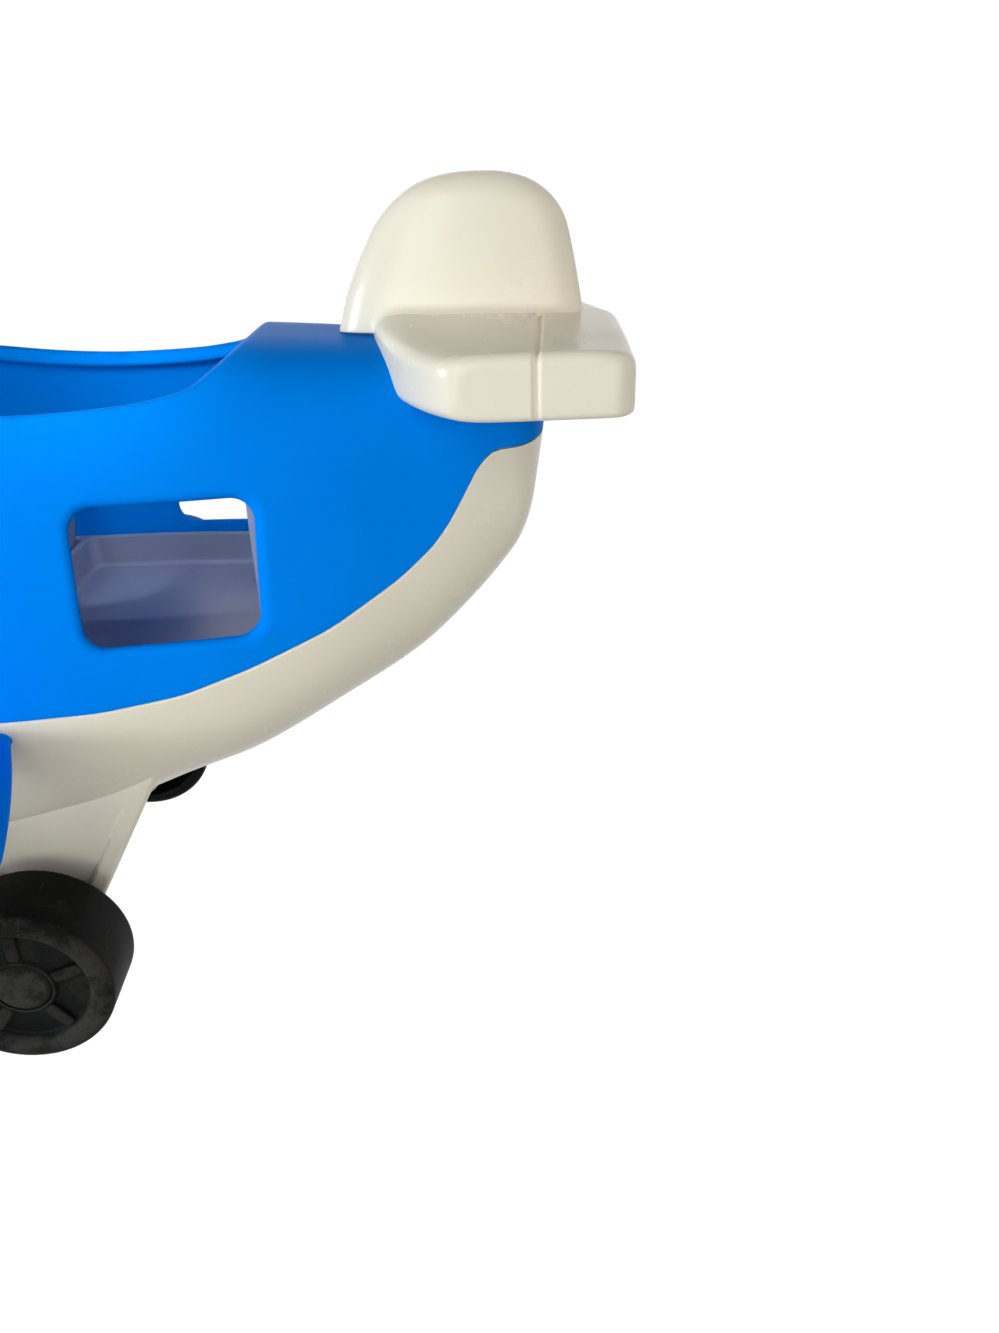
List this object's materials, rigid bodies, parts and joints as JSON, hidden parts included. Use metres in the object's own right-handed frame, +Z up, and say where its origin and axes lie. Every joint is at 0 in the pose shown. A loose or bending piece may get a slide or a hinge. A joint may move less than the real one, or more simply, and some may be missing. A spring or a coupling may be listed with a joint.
{
  "type": "toy jet plane",
  "caption": "Push-along toy jet airliner with an open-topped cabin, side windows, wings with engines, a T-shaped tail unit and three rolling wheel sets.",
  "frame": {"origin": "on the floor, under the middle of the plane's bounding box", "axes": "+X towards the nose, +Y towards the port wing, +Z up; the wheels stand on Z = 0"},
  "size_m": [0.356, 0.23, 0.2015],
  "materials": {
    "blue_shell": "smooth moulded blue plastic, slightly soft gloss",
    "white_shell": "warm white moulded plastic, soft gloss",
    "cabin_grey": "grey-violet moulded plastic, satin",
    "seat_grey": "grey moulded plastic, satin",
    "dark_grey": "dark grey moulded plastic, satin",
    "black_wheel": "black moulded plastic, worn satin",
    "steel": "plain drawn steel"
  },
  "bodies": {
    "plane": {"upper_shell": "blue_shell", "belly_shell": "white_shell", "nose_cap": "white_shell", "cabin_floor": "cabin_grey", "pilot_seat": "seat_grey", "passenger_bench": "seat_grey", "dashboard": "dark_grey", "tail_unit": "white_shell", "tailplane_cover": "white_shell", "wing_left": "blue_shell", "wing_right": "blue_shell", "nacelle_left": "white_shell", "nacelle_right": "white_shell", "intake_fan_left": "dark_grey", "intake_fan_right": "dark_grey", "exhaust_cone_left": "dark_grey", "exhaust_cone_right": "dark_grey", "nose_axle": "steel", "case_screws": "steel", "wing_screws": "steel", "tail_screws": "steel"},
    "main_wheels": {"main_axle": "steel", "main_wheel_left": "black_wheel", "main_wheel_right": "black_wheel", "hub_cap_left": "black_wheel", "hub_cap_right": "black_wheel"},
    "nose_wheel_set": {"nose_wheel": "black_wheel"}
  },
  "joints": [
    {"name": "main_wheels_roll", "type": "hinge", "parent": "plane", "child": "main_wheels", "pos_m": [-0.0214, 0, 0.0225], "axis": [0, 1, 0], "continuous": true},
    {"name": "nose_wheel_roll", "type": "hinge", "parent": "plane", "child": "nose_wheel_set", "pos_m": [0.118, 0, 0.017], "axis": [0, 1, 0], "continuous": true}
  ]
}
